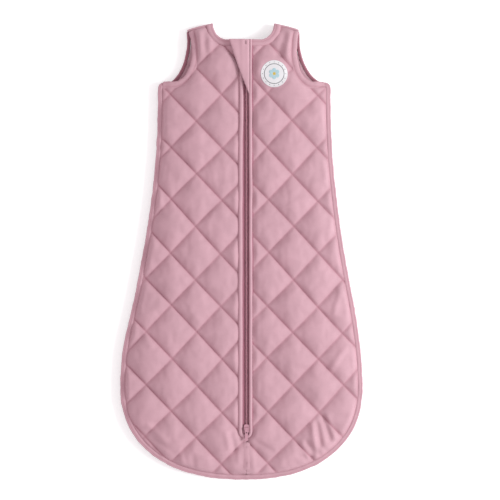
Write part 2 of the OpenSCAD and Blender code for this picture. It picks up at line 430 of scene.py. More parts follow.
def fabric(name, colour, knit=0.9, rib=0.7, depth=0.12, mottle=0.06, sheen=0.12, rough=0.85, groove_shade=False):
    """Knitted or woven cloth: loops in rows, a slow change of colour, and a soft sheen.
    knit and rib are a loop's width and height in millimetres."""
    n = Nodes(name)
    place = n.add("ShaderNodeUVMap", uv_map="weave")
    split = n.add("ShaderNodeSeparateXYZ")
    n.link(place, "UV", split, "Vector")
    across = n.math("MULTIPLY", (split, "X"), 100 * 2 * math.pi / knit)
    along = n.math("MULTIPLY", (split, "Y"), 100 * 2 * math.pi / rib)
    wale = n.math("SINE", across)
    vee = n.math("ABSOLUTE", wale)
    shifted = n.math("ADD", along, n.math("MULTIPLY", vee, 2.2))
    loops = n.math("SINE", shifted)
    column = n.math("POWER", vee, 0.6)
    height = n.math("MULTIPLY", column, n.math("ADD", n.math("MULTIPLY", loops, 0.35), 0.65))
    fuzz = n.add("ShaderNodeTexNoise", Scale=210.0, Detail=3.0, Roughness=0.6)
    n.link(place, "UV", fuzz, "Vector")
    both = n.math("ADD", height, n.math("MULTIPLY", (fuzz, "Fac"), 0.5))
    bump = n.add("ShaderNodeBump", Strength=0.5, Distance=depth * MM)
    n.link(*both, bump, "Height")
    n.link(bump, "Normal", n.shader, "Normal")
    slow = n.add("ShaderNodeTexNoise", Scale=2.2, Detail=4.0, Roughness=0.62)
    n.link(place, "UV", slow, "Vector")
    dark = [c * (1 - mottle) for c in colour]
    light = [min(1, c * (1 + mottle)) for c in colour]
    dyed = n.ramp(dark, light, (0.3, 0.7))
    n.link(slow, "Fac", dyed, "Fac")
    shade = dyed.outputs["Color"]
    # Painted shade: a point attribute darkens the rose to a deeper, more saturated tone in the quilting's
    # grooves and other recesses.
    if groove_shade:
        groove_shade_attr = n.add("ShaderNodeAttribute", attribute_name="groove_shade")
        deep = n.ramp((0.82, 0.66, 0.7), (1, 1, 1))
        n.link(groove_shade_attr, "Fac", deep, "Fac")
        shade = n.multiplied(shade, deep)
    # Painted shade at the scale of the knit: the rose is darkened a little where the knit's loops lie low.
    grain = n.ramp((0.62, 0.62, 0.62), (1, 1, 1))
    n.link(*height, grain, "Fac")
    n.tree.links.new(n.multiplied(shade, grain, 0.16), n.shader.inputs["Base Color"])
    rough_map = n.add("ShaderNodeMapRange", **{"To Min": rough - 0.06, "To Max": min(1.0, rough + 0.06)})
    n.link(fuzz, "Fac", rough_map, "Value")
    n.link(rough_map, "Result", n.shader, "Roughness")
    n.shader.inputs["Sheen Weight"].default_value = sheen
    n.shader.inputs["Sheen Roughness"].default_value = 0.45
    n.shader.inputs["Specular IOR Level"].default_value = 0.25
    return n.mat


def solid_stuff(name, colour, rough=0.4, grain=400.0, depth=0.02, coat=0.0):
    """Enamel, nylon or wadding: a plain colour that varies a little, with a fine grain."""
    n = Nodes(name)
    place = n.add("ShaderNodeTexCoord")
    slow = n.add("ShaderNodeTexNoise", Scale=120.0, Detail=3.0)
    fine = n.add("ShaderNodeTexNoise", Scale=grain * 10, Detail=4.0)
    for node in (slow, fine):
        n.link(place, "Object", node, "Vector")
    dyed = n.ramp([c * 0.88 for c in colour], [min(1, c * 1.1) for c in colour])
    n.link(slow, "Fac", dyed, "Fac")
    n.link(dyed, "Color", n.shader, "Base Color")
    least, most = max(0.05, rough - 0.08), min(1.0, rough + 0.1)
    spread = n.add("ShaderNodeMapRange", **{"To Min": least, "To Max": most})
    n.link(fine, "Fac", spread, "Value")
    n.link(spread, "Result", n.shader, "Roughness")
    bump = n.add("ShaderNodeBump", Strength=0.3, Distance=depth * MM)
    n.link(fine, "Fac", bump, "Height")
    n.link(bump, "Normal", n.shader, "Normal")
    n.shader.inputs["Coat Weight"].default_value = coat
    return n.mat


ROSE = (0.54, 0.335, 0.385)
MATS = {
    "jersey": fabric("rose_jersey", ROSE, groove_shade=True),
    "binding": fabric("binding_jersey", [c * 1.02 for c in ROSE], knit=0.8, rib=0.6, groove_shade=True),
    # Painted shade: a darker copy of the binding's rose for the back edge deep inside each armhole, where the
    # front's edge shades it.
    "painted_shade_edge": fabric("painted_shade_edge_jersey", (0.38, 0.17, 0.215), knit=0.8, rib=0.6),
    "lining": fabric("lining_jersey", [c * 1.03 for c in ROSE], depth=0.09),
    "tape": fabric("zip_tape_weave", (0.36, 0.15, 0.2), knit=0.8, rib=1.1, depth=0.15, sheen=0.1),
    # The thread's rose is deeper than the cloth's: partly the thread's own colour, partly painted shade that
    # darkens the quilting's grooves where it lies.
    "thread": fabric("rose_thread", [c * 0.62 for c in ROSE], knit=0.35, rib=0.5, depth=0.05, sheen=0.15),
    "wadding": solid_stuff("wadding_fibre", (0.62, 0.6, 0.58), rough=0.95, grain=60, depth=0.4),
    "teeth": solid_stuff("coil_nylon", (0.78, 0.4, 0.49), rough=0.42, depth=0.01),
    "enamel": solid_stuff("rose_enamel", (0.5, 0.27, 0.33), rough=0.38, coat=0.2, depth=0.01),
    "label": fabric("label_satin", (0.62, 0.61, 0.6), knit=0.3, rib=0.3, depth=0.03, sheen=0.1, rough=0.5),
    "patch": fabric("patch_twill", (0.7, 0.715, 0.73), knit=0.5, rib=0.5, depth=0.06, mottle=0.02, sheen=0.1),
    "patch_grey": fabric("patch_grey_thread", (0.16, 0.17, 0.18), knit=0.4, rib=0.5, depth=0.06),
    "patch_blue": fabric("patch_blue_thread", (0.42, 0.62, 0.67), knit=0.4, rib=0.5, depth=0.06),
    "patch_yellow": fabric("patch_yellow_thread", (0.6, 0.47, 0.1), knit=0.4, rib=0.5, depth=0.06),
}


def set_groove_shade(obj, values):
    """Painted shade: how much each point's rose is deepened, from 0 in a groove, where the painted shade is
    strongest, to 1, where none is painted.
    """
    if "groove_shade" not in obj.data.attributes:
        obj.data.attributes.new("groove_shade", "FLOAT", "POINT")
    values = np.broadcast_to(np.asarray(values, np.float32), len(obj.data.vertices))
    obj.data.attributes["groove_shade"].data.foreach_set("value", np.ascontiguousarray(values))


def finish(obj, material, replaces=()):
    """Gives a piece its material, and hides the frame nodes that it stands for."""
    # Jersey and binding with no painted groove shade given get none.
    if material in ("jersey", "binding") and "groove_shade" not in obj.data.attributes:
        set_groove_shade(obj, 1.0)
    if material is not None:
        obj.data.materials.clear()
        obj.data.materials.append(MATS[material])
    if replaces:
        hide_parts(*replaces)
    return obj


# ---------------------------------------------------------------- folds of the two lapels


def fold_line(side):
    """The foot of a crease, and the direction from it towards the zip, seen from above."""
    foot = np.array([ZIP_X, ZIP_FOOT - 1])
    along = np.array([side * NECK_HALF, HALF_LEN]) - foot
    along /= np.linalg.norm(along)
    inward = np.array([-along[1], along[0]]) * side
    return foot, inward


def bend(obj, name):
    """Bakes a piece of one front half into its mesh; its lapel's fold line is worked out, but nothing is
    folded.
    """
    foot, inward = fold_line(SIDES[name])
    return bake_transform(obj)


# ---------------------------------------------------------------- quilted panels

CELL_X, CELL_Y = 37.8, 39.65
LATTICE_X, LATTICE_Y = 1.7, -2.4
SEAM_TAKEN = 3.1
# the lattice's first and last lines, well outside the bag
LATTICE = (-14, 22)
# distance from the zip's middle to the middle of each rolled facing, and half its width
ROLL = {"left": (9.0, 3.2), "right": (6.35, 2.6)}
# distance from the zip's middle to each panel's rim, and from there to where its pillows start
SLOT_RIM = {"left": 10.6, "right": 8.2}
FLAT_BAND = {"left": 0, "right": 3.2}
CELL_STEPS = 14
PILLOW = {"front": 6.4, "back": 2.4}
# how far a stitch line's groove reaches to each side
GROOVE_HALF = 1.7
# how far the panels' rims lie inside the bag's outline, under the bindings
PANEL_INSET = {"front": 7.0, "back": 5.5}
# depth of the front's stitch lines below the top of its frame solid
FRONT_LINE_DEPTH = 3.6
# under the patch the quilting has an even share of its height, to this radius, then blends away
PATCH_SHARE, PATCH_FLAT, PATCH_BLEND = 0.72, 17, 7
# how far the cloth simulation may move a point, and the share of its move that is kept
CLOTH_LOW, CLOTH_HIGH, CLOTH_SHARE = (-1.6, -1.6, -2.0), (1.6, 1.6, 2.5), 0.5
# how near a whole number a point's place is, on a stitch line
ON_LINE = 0.015

SIDE_LINE = {
    name: np.array([(side * x, y) for x, y in side_curve(0, side) + foot_curve(0, side)])
    for name, side in SIDES.items()
}
SHOULDER_LINE = np.array([(NECK_HALF, shoulder_y(NECK_HALF)), (90, shoulder_y(90))])
FRONT_ARM_LINE = np.array(arm_curve(0, "front", 1))


def warp(x, y, side):
    """How far the hand-guided stitch lines wander."""
    wx = 1.1 * np.sin(y / 47 + side) + 0.8 * np.sin(x / 31 + y / 83)
    wy = 1.0 * np.sin(x / 39 + 1.3 * side) + 0.9 * np.sin(y / 29 + x / 71)
    return wx, wy


def cell_place(x, y, side):
    """A point's place in the lattice of stitch lines, which lie at whole numbers."""
    wx, wy = warp(x, y, side)
    x, y = x - wx, y - wy
    u = (side * (x - LATTICE_X) + SEAM_TAKEN) / CELL_X
    v = (y - LATTICE_Y) / CELL_Y
    return (u + v + 1) / 2, (u - v + 1) / 2


def lattice_xy(p, q, side):
    """The point at a place in the lattice."""
    u, v = p + q - 1, p - q
    x = side * (u * CELL_X - SEAM_TAKEN) + LATTICE_X
    y = v * CELL_Y + LATTICE_Y
    wx, wy = warp(x, y, side)
    return x + wx, y + wy


def on_lines(x, y, side):
    """Whether each point lies on a line of the one kind, and of the other."""
    return [np.abs(k - np.round(k)) < ON_LINE for k in cell_place(x, y, side)]


def lattice_points(side, low, high):
    """The corners of the small cells between two corners of a box."""
    places = np.arange(LATTICE[0] * CELL_STEPS, LATTICE[1] * CELL_STEPS) / CELL_STEPS
    x, y = lattice_xy(*np.meshgrid(places, places), side)
    keep = (x > low[0]) & (x < high[0]) & (y > low[1]) & (y < high[1])
    return np.column_stack([x[keep], y[keep]])


def inside(points, outline):
    x, y = points[:, 0], points[:, 1]
    hit = np.zeros(len(points), bool)
    for (x1, y1), (x2, y2) in zip(outline, np.roll(outline, -1, 0)):
        cross = ((y1 > y) != (y2 > y)) & (x < (x2 - x1) * (y - y1) / (y2 - y1 + 1e-12) + x1)
        hit ^= cross
    return hit


def filled(outline, points, step=3.4, clear=1.5):
    """Triangles between an outline and the points inside it that lie clear of it."""
    rim, closed_rim = rim_of(outline, step)
    points = points[inside(points, rim)]
    points = points[distance_to(points, closed_rim) > clear]
    every = [Vector(p) for p in np.vstack([rim, points])]
    verts, _, faces, *_ = delaunay_2d_cdt(every, [], [list(range(len(rim)))], 1, 1e-4)
    return verts, faces, closed_rim


def flat_panel(outline, side):
    """A flat net of small cells inside an outline, as points and faces. Stitch lines run along its edges."""
    rim, _ = rim_of(outline)
    verts, faces, _ = filled(outline, lattice_points(side, rim.min(0), rim.max(0)))
    bm = bmesh.new()
    for v in verts:
        bm.verts.new((v[0], v[1], 0))
    bm.verts.ensure_lookup_table()
    for f in faces:
        bm.faces.new([bm.verts[i] for i in f])
    bmesh.ops.recalc_face_normals(bm, faces=bm.faces)
    bmesh.ops.join_triangles(
        bm, faces=bm.faces, angle_face_threshold=1.0, angle_shape_threshold=math.radians(50)
    )
    if sum(f.normal.z for f in bm.faces) < 0:
        bmesh.ops.reverse_faces(bm, faces=bm.faces)
    bm.verts.index_update()
    xy = np.array([v.co[:2] for v in bm.verts])
    out = [tuple(v.index for v in f.verts) for f in bm.faces]
    bm.free()
    return xy, out


def falling_rising(x, y, side):
    """A point's place among the stitch lines that fall to the right, which are sewn tighter,
    and among those that rise."""
    p, q = cell_place(x, y, side)
    return (p, q) if side > 0 else (q, p)


def pillow_share(x, y, side, power=3.2, rising_least=0.0):
    """How high a point lies on its pillow, from 0 on a stitch line to 1 in the middle.
    Rising lines come down to rising_least."""
    places = falling_rising(x, y, side)
    a, b = (np.clip(1 - np.abs(2 * (k - np.floor(k)) - 1) ** power, 0, 1) for k in places)
    return a * (rising_least + (1 - rising_least) * b)


def cell_noise(x, y, side):
    """A number from -1 to 1 for each pillow."""
    p, q = cell_place(x, y, side)
    return np.sin(np.floor(p) * 12.9898 + np.floor(q) * 78.233 + side * 4.1) % 1 * 2 - 1


# long soft creases in the front: two ends, half width, height (a valley if negative)
FOLDS = [
    ((110, -258), (115, -290), 3.4, -5.2), ((103, -260), (107, -290), 4, 3.2),
    ((120, -252), (130, -282), 3.6, -5.0), ((125, -248), (137, -276), 4, 3.0),
    ((95, -285), (107, -303), 3, -4.2), ((88, -290), (98, -308), 3.5, 3.0),
    ((101, -307), (106, -316), 2.2, -3.4), ((112, -300), (117, -308), 2.4, -3.2),
    ((107, -303), (111, -313), 2.4, 2.2), ((81, -305), (97, -313), 2.6, -2.6),
    ((120, -294), (126, -300), 2.4, -2.4), ((79, -318), (85, -322), 2.2, -2.2),
    ((90, -317), (99, -319), 2.4, 1.8), ((-142, -262), (-118, -282), 4.5, 2.2),
    ((-134, -280), (-108, -300), 4, -2.2), ((-96, -300), (-90, -322), 4, 2.0),
    ((-76, -306), (-74, -326), 4, -1.8), ((-58, 328), (-57, 300), 4.5, -2.8),
    ((-51, 324), (-49, 292), 3.5, 1.8), ((-66, 326), (-68, 306), 4, 1.8), ((62, 326), (54, 296), 5, -3.2),
    ((70, 322), (66, 296), 4.5, 2.2), ((-19, -272), (-13, -297), 3.5, -2.6),
    ((-27, -270), (-21, -296), 4, 1.8), ((-8, -288), (-7, -314), 3.5, 1.5),
    ((20, -284), (42, -300), 4.5, -1.6), ((14, -296), (16, -334), 4, 1.5),
    ((-22, -302), (-52, -306), 6, 1.4), ((136, 60), (128, 22), 5, 1.8), ((146, -60), (136, -92), 5, 2.0),
    ((148, -150), (132, -176), 5, 2.2), ((-128, 84), (-120, 60), 4, 1.6),
    ((-150, -120), (-138, -142), 5, 1.6),
]


def folds(x, y):
    out = np.zeros(len(x))
    points = np.column_stack([x, y])
    for a, b, wide, high in FOLDS:
        d = distance_to(points, np.array([a, b], float))
        out += high * bell(d, wide)
    return out


def near_side(points, reach):
    """1 at either side of the bag, falling to 0 at reach from it."""
    distance = np.minimum(*(distance_to(points, line) for line in SIDE_LINE.values()))
    return np.clip(1 - distance / reach, 0, 1) ** 2


def edge_fall(points):
    """How far the front comes down near the sides, the shoulders and the armholes."""
    mirrored = np.column_stack([np.abs(points[:, 0]), points[:, 1]])
    falls = [9.5 * near_side(points, 85)]
    for line, deep, reach in ((SHOULDER_LINE, 11, 60), (FRONT_ARM_LINE, 6.5, 40)):
        falls.append(deep * np.clip(1 - distance_to(mirrored, line) / reach, 0, 1) ** 2)
    return np.maximum.reduce(falls)


def front_base(points):
    """Height of the front's stitch lines."""
    wave = 0.7 * ripple(points[:, 0], points[:, 1], 90, 120, 3.3)
    return TOP_Z - FRONT_LINE_DEPTH - edge_fall(points) + wave


def front_outline(name, inset):
    """Outline of one half of the front. Its rim lies under the bindings and the facing."""
    side = SIDES[name]
    slot = SLOT_RIM[name] + side * ZIP_X
    middle = side * ZIP_X + 0.15
    neck = [p for p in neck_curve(inset, "front") if p[0] > slot + 2]
    right = (
        [(slot, NECK_Y - inset)] + neck + arm_curve(inset, "front", side)
        + side_curve(inset, side) + foot_curve(inset, side)[:-1]
    )
    right = [p for p in right if p[0] > middle or p[1] > 0]
    right += [(middle, y) for y in np.linspace(-HALF_LEN + inset, ZIP_FOOT + 4.5, 14)]
    reach = slot - side * ZIP_X
    foot = np.radians(np.arange(-75, 1, 15))
    right += [(side * ZIP_X + reach * math.cos(a), ZIP_FOOT + 14 + 8.7 * math.sin(a)) for a in foot]
    return np.array([(side * x, y) for x, y in right])


def sewn_rim(rim):
    """A panel's rim without its part on the centre seam below the zip."""
    centre = (np.abs(rim[:, 0] - ZIP_X) < 1) & (rim[:, 1] < ZIP_FOOT + 6)
    last = len(rim) - 1 - int(np.argmax(centre[::-1]))
    rolled = np.roll(rim, -(last + 1), axis=0)
    return rolled[: len(rim) - int(centre.sum())]


def fine_sheet(xy, z, faces, side, groove=0.0):
    """A smooth surface from a coarse net, as points and faces.
    Stitch lines stay sharp, and are pulled down by groove."""
    obj = make_mesh("net", np.column_stack([xy, z]), faces)
    on_p, on_q = on_lines(*xy.T, side)
    ends = np.zeros(len(obj.data.edges) * 2, int)
    obj.data.edges.foreach_get("vertices", ends)
    a, b = ends.reshape(-1, 2).T
    sharp = (on_p[a] & on_p[b]) | (on_q[a] & on_q[b])
    crease = obj.data.attributes.new("crease_edge", "FLOAT", "EDGE")
    crease.data.foreach_set("value", (sharp * 0.85).astype(np.float32))
    subdivide(obj)
    points, fine_faces = mesh_points(obj.data), [tuple(p.vertices) for p in obj.data.polygons]
    bpy.data.objects.remove(obj)
    apart = CELL_X * CELL_Y * 2 / math.hypot(CELL_X, CELL_Y)
    places = falling_rising(*points[:, :2].T, side)
    falling, rising = (np.clip(1 - np.abs(k - np.round(k)) * apart / GROOVE_HALF, 0, 1) for k in places)
    points[:, 2] -= groove * np.maximum(falling, 0.4 * rising)
    return points, fine_faces


def inflate(xy, z, faces, pinned, frames=16):
    """Cloth simulation of one quilted layer: the stitch lines are held, and the cloth between them
    bulges and puckers."""
    obj = make_mesh("cloth", np.column_stack([xy, z]), faces)
    obj.vertex_groups.new(name="held").add([int(i) for i in np.flatnonzero(pinned)], 1.0, "REPLACE")
    m = obj.modifiers.new("cloth", "CLOTH")
    s = m.settings
    s.quality = 6
    s.mass = 0.15
    s.tension_stiffness = s.compression_stiffness = 12
    s.shear_stiffness = 4
    s.bending_stiffness = 0.08
    s.vertex_group_mass = "held"
    s.pin_stiffness = 1
    s.shrink_min = -0.035
    s.use_pressure = True
    s.uniform_pressure_force = 2.2
    s.effector_weights.gravity = 0
    s.air_damping = 4
    m.collision_settings.use_collision = False
    m.point_cache.frame_start = 1
    m.point_cache.frame_end = frames
    scene = bpy.context.scene
    for f in range(1, frames + 1):
        scene.frame_set(f)
    got = bpy.data.meshes.new_from_object(obj.evaluated_get(bpy.context.evaluated_depsgraph_get()))
    bpy.data.objects.remove(obj)
    scene.frame_set(1)
    return mesh_points(got)


def raised(points, side, rim):
    """Painted shade for a quilted surface: strongest on its stitch lines and along its rim, where shade
    falls; the rising stitch lines are painted lighter than the falling ones, to suit the light's direction.
    """
    share = pillow_share(points[:, 0], points[:, 1], side, power=22, rising_least=0.4)
    return np.clip(share, 0, 1) * (0.55 + 0.45 * np.clip(distance_to(points[:, :2], rim) / 4, 0, 1))


def sandwich(label, top, bottom, faces, parts, groove_shade):
    """Outer or inner fabric, wadding and the other fabric between two surfaces, top first.
    parts gives each layer's name, material, slot and nodes."""
    cloth, gap, least = np.array([0, 0, 0.8]), np.array([0, 0, 0.1]), 0.3
    upper = top - cloth - gap
    lower = bottom + cloth + gap
    thin = upper[:, 2] - lower[:, 2] < least
    middle = (upper[thin, 2] + lower[thin, 2]) / 2
    upper[thin, 2] = middle + least / 2
    lower[thin, 2] = middle - least / 2
    levels = [(top, top - cloth), (upper, lower), (bottom + cloth, bottom)]
    made = []
    for (name, material, slot, nodes), (a, b) in zip(parts, levels):
        obj = closed_sheet(label + name, a, b, faces)
        # The outer jersey carries the painted groove shade on both its faces.
        if material == "jersey":
            set_groove_shade(obj, np.concatenate([groove_shade, groove_shade]))
        made.append(finish(obj, material, nodes))
    return made


# name, material and slot of a panel's layers, from the outside of the bag to its inside
QUILT_LAYERS = [
    ("quilted_shell", "jersey", "quilted_jersey"), ("quilt_wadding", "wadding", "wadding"),
    ("quilt_lining", "lining", "lining_jersey"),
]


def quilt(label, top, bottom, faces, nodes, groove_shade):
    """A panel of two sheets quilted over a wadding. The back's outside is its bottom."""
    parts = [(*layer, stands_for) for layer, stands_for in zip(QUILT_LAYERS, nodes)]
    if label == "back_":
        parts.reverse()
    made = sandwich(label, top, bottom, faces, parts, groove_shade)
    return made


def seam_pull(x, y):
    """How far the centre seam below the zip draws the cloth down."""
    off = np.abs(x - ZIP_X)
    deep = np.where(y < ZIP_FOOT + 6, 0.4 * bell(off, 2.5) + 1.1 * bell(off, 12), 0)
    return deep * smooth((ZIP_FOOT + 6 - y) / 12)


def front_half(name):
    """One quilted half of the front, from the zip to the side, with its wadding and lining."""
    side = SIDES[name]
    outline = front_outline(name, PANEL_INSET["front"])
    xy, faces = flat_panel(outline, side)
    x, y = xy.T
    rim, closed_rim = rim_of(outline)
    rim = sewn_rim(rim)
    edge, sewn = distance_to(xy, closed_rim), distance_to(xy, rim)
    beside_zip = y > ZIP_FOOT + 15
    band = side * (x - ZIP_X) - SLOT_RIM[name] - FLAT_BAND[name]
    held_edge = rounded(sewn, 8) * np.where(beside_zip, rounded(band, 6), 1)
    centre = (PATCH[0] + PATCH[1])[:2] / 2
    under_patch = 1 - smooth((np.hypot(x - centre[0], y - centre[1]) - PATCH_FLAT) / PATCH_BLEND)
    full = (pillow_share(x, y, side) * (1 - under_patch) + PATCH_SHARE * under_patch) * held_edge
    loft = PILLOW["front"] * (1 + 0.1 * cell_noise(x, y, side))
    soft = 0.4 * ripple(x, y, 12, 30, 5.1 + side) + 0.2 * ripple(x, y, 6, 14, 9.4 + side)
    gather = 0.9 * ripple(x, y, 11, 11, 1.3 + side) * np.exp(-edge / 14) * held_edge - seam_pull(x, y)
    rise = (1.9 if side < 0 else 0.8) * np.exp(-np.clip(band, 0, 99) / 4) * beside_zip
    base = front_base(xy) + rise - 0.4 * np.exp(-sewn / 2.6)
    creases = folds(x, y) * np.clip(edge / 5, 0, 1)
    z = base + full * (loft + soft * (1 - under_patch)) + gather + creases
    top = np.column_stack([x, y, z])
    on_p, on_q = on_lines(x, y, side)
    move = inflate(xy, z, faces, on_p | on_q | (edge < 1) | (under_patch > 0.5)) - top
    top = top + CLOTH_SHARE * np.clip(move, CLOTH_LOW, CLOTH_HIGH)
    low = base - 2.6 - 0.62 * PILLOW["front"] * full - 0.4 * soft * full
    fine, fine_faces = fine_sheet(top[:, :2], top[:, 2], faces, side, groove=1.1)
    under, _ = fine_sheet(xy, low, faces, side)
    nodes = [[f"{name}_front_{layer}", f"{name}_lapel_{layer}"] for layer in ("shell", "wadding", "lining")]
    for obj in quilt(name + "_front_", fine, under, fine_faces, nodes, raised(fine, side, rim)):
        bend(obj, name)
    return BVHTree.FromPolygons([Vector(p) for p in fine], fine_faces), outline


def back_outline(inset):
    halves = [
        neck_curve(inset, "back") + arm_curve(inset, "back", s) + side_curve(inset, s) + foot_curve(inset, s)
        for s in (1, -1)
    ]
    right, left = halves[0], [(-x, y) for x, y in reversed(halves[1])]
    return np.array(right[1:] + left[1:-1] + [right[0]])


def back_panel():
    """The quilted back, which lies on the ground."""
    outline = back_outline(PANEL_INSET["back"])
    xy, faces = flat_panel(outline, 1)
    x, y = xy.T
    _, closed_rim = rim_of(outline)
    share = pillow_share(x, y, 1) * rounded(distance_to(xy, closed_rim), 15)
    rise = 3.8 * near_side(xy, 30)
    soft = ripple(x, y, 9, 26, 2.2)
    top = 5.0 + rise + (PILLOW["back"] + 0.4 * soft) * share
    low = 2.9 + rise - (2.6 + 0.25 * soft) * share
    up, fine_faces = fine_sheet(xy, top, faces, 1, groove=0.3)
    down, _ = fine_sheet(xy, low, faces, 1)
    nodes = [["back_shell"], ["back_wadding"], ["back_lining"]]
    for obj in quilt("back_", up, down, fine_faces, nodes, raised(down, 1, closed_rim)):
        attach(obj, "root")
    return BVHTree.FromPolygons([Vector(p) for p in up], fine_faces)


# ---------------------------------------------------------------- bindings

# profile of a binding: its inner lobe, a row of stitches, and its turned outer rim
BINDING_PROFILE = [
    (-4.6, -1.0), (-4.3, 0.8), (-3.0, 1.9), (-0.9, 2.2), (0.8, 1.8), (1.5, 1.35), (2.2, 1.7), (3.4, 1.4),
    (4.2, 0.4), (4.2, -0.9), (3.0, -2.1), (0.5, -2.9), (-2.6, -2.9), (-4.2, -2.2),
]
# painted shade at each of the profile's points: lower values deepen the rose where the profile turns under
# and at its row of stitches
BINDING_GROOVE_SHADE = [0.3, 0.6, 0.95, 1, 0.8, 0.45, 0.85, 1, 0.9, 0.7, 0.6, 0.6, 0.6, 0.4]


def binding(name, path, width=1.0, flip=False, seed=0.0):
    """A padded strip along an edge, with small puckers.
    The rim is on the right of the path's way, or on its left where flip is true."""
    path = resample(path, 2.2)
    x, y = path[:, :2].copy().T
    swell = 1 + 0.13 * noises(x / 6.5, y / 6.5, seed)
    ahead = np.gradient(path[:, :2], axis=0)
    across = np.column_stack([ahead[:, 1], -ahead[:, 0]]) / np.linalg.norm(ahead, axis=1)[:, None]
    path[:, :2] += 0.6 * noises(x / 17, y / 17, seed + 3)[:, None] * across
    x, y = path[:, :2].T
    path[:, 2] += 0.5 * noises(x / 9, y / 9, seed + 5)
    profile = [((-a if flip else a) * width, b) for a, b in BINDING_PROFILE]
    if flip:
        profile = profile[::-1]
    obj = sweep(name, path, profile, swell=swell)
    # Painted shade along the strip's profile, mirrored where the strip is flipped.
    deep = BINDING_GROOVE_SHADE[::-1] if flip else BINDING_GROOVE_SHADE
    set_groove_shade(obj, np.tile(deep, len(path)))
    return subdivide(obj)


def with_height(points, height):
    return np.array([(x, y, height(x, y)) for x, y in points])


def outer_bindings():
    """The bound seams down both sides and round the foot."""
    height = lambda x, y: 10.9
    mid = BINDING / 2
    for name, side in SIDES.items():
        start = [(x, UNDERARM_Y - 4.5) for x in (SIDE_IN - 5, SIDE_IN)]
        line = start + side_curve(mid, side) + foot_curve(mid, side)[:2]
        path = with_height([(side * x, y) for x, y in line], height)
        obj = binding(f"{name}_side_seam_binding", path, flip=side > 0, seed=8.0)
        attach(finish(obj, "binding", [f"{name}_side_binding"]), "root")
    hem = []
    for side in (1, -1):
        half = [(half_width(y, side) - mid, y) for y in (FOOT_Y + 6, FOOT_Y + 3)] + foot_curve(mid, side)
        hem = hem + half if side > 0 else hem + [(-x, y) for x, y in reversed(half[:-1])]
    obj = binding("round_hem_binding", with_height(hem, height), flip=True, seed=8.0)
    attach(finish(obj, "binding", ["hem_binding"]), "root")


def front_edge_z(x, y):
    return float((front_base(np.array([[x, y]], float)))[0])


def armhole_bindings():
    """Each armhole's binding: the front edge, and the back edge behind it, which is given a darker rose as
    painted shade inside the armhole.
    """
    for name, side in SIDES.items():
        start_y, end_x = HALF_LEN - 10, SIDE_IN - 12

        def front_z(x, y):
            top = front_edge_z(x, y) - 0.6
            ending = smooth((abs(x) - end_x) / 14)
            return top * (1 - ending) + 11.6 * ending

        def back_z(x, y):
            rising = smooth((y - start_y + 14) / 20)
            return 4.6 + 3.2 * rising + 1.4 * smooth((abs(x) - end_x) / 14)

        strips = []
        for part, wide, height, drop, seed, material in (
            ("front", ARM_BINDING, front_z, 5, 11.0, "binding"),
            ("back", BACK_BINDING, back_z, 3, 14.0, "painted_shade_edge"),
        ):
            line = arm_curve(wide / 2, part, side) + [(SIDE_IN + 1, UNDERARM_Y - drop)]
            line[0] = (line[0][0], line[0][1] - 1.6)
            path = with_height(resample([(side * x, y) for x, y in line], 3), height)
            strip = binding(part, path, width=wide / BINDING, flip=side < 0, seed=side + seed)
            strip.data.materials.append(MATS[material])
            strips.append(strip)
        obj = join(f"{name}_armhole_edge", strips)
        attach(finish(obj, None, [f"{name}_armhole_binding"]), "root")


def neck_bindings():
    """The neck's binding: one strip along the back, and one on each front half."""
    half = neck_curve(BINDING / 2, "back")
    half[-1] = (half[-1][0], half[-1][1] - 1.6)
    whole = [(-x, y) for x, y in reversed(half)] + half[1:]
    rise = lambda x, y: 4.6 + 3.4 * float(smooth((y - 326) / 16))
    obj = binding("back_neckline", with_height(whole, rise), flip=True, seed=21.0)
    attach(finish(obj, "binding", ["back_neck_binding"]), "root")
    for name, side in SIDES.items():
        slot = ROLL[name][0] + 1 + side * ZIP_X
        mid = NECK_BINDING / 2
        half = [(slot, NECK_Y - mid)] + [p for p in neck_curve(mid, "front") if p[0] > slot + 2]
        half[-1] = (half[-1][0], half[-1][1] - 1.0)
        path = with_height([(side * x, y) for x, y in half], lambda x, y: front_edge_z(x, y) + 0.2)
        obj = binding(f"{name}_neckline", path, width=NECK_BINDING / BINDING, flip=side > 0, seed=24.0 + side)
        finish(obj, "binding", [f"{name}_neck_binding"])
        bend(obj, name)


def shoulder_seams():
    """Where the front and the back are sewn together on each shoulder."""
    profile = ring(2.1, 3.4, 8)
    for name, side in SIDES.items():
        xs = np.linspace(NECK_HALF - 0.3, 83.6 if side > 0 else 85.2, 22)
        path = np.array([(side * x, shoulder_y(x) - 1.3, 9.2) for x in xs])
        swell = 1 + 0.1 * noises(xs / 5, 31 + side, 0)
        swell[-3:] *= (0.95, 0.85, 0.6)
        obj = subdivide(sweep(f"{name}_shoulder_ridge", path, profile, swell=swell))
        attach(finish(obj, "binding", [f"{name}_shoulder_seam"]), "root")


# ---------------------------------------------------------------- zip

# where the facings start to turn in at the foot, and how deep they turn
FOOT_TURN, FOOT_DEEP = ZIP_FOOT + 14, 7.5
# profiles of a facing, whose half width is 1, and of a tape, whose edge under the coil slopes down
ROLL_PROFILE = [
    (-1, -1.5), (-0.97, 0.4), (-0.67, 1.8), (0, 2.3), (0.67, 1.8), (0.97, 0.4), (1, -1.5), (0, -1.7),
]
TAPE_PROFILE = [(-4.9, -0.3), (-4.9, 0.3), (-2, 0.3), (3.8, -1.5), (3.8, -2.1), (-2, -0.3)]


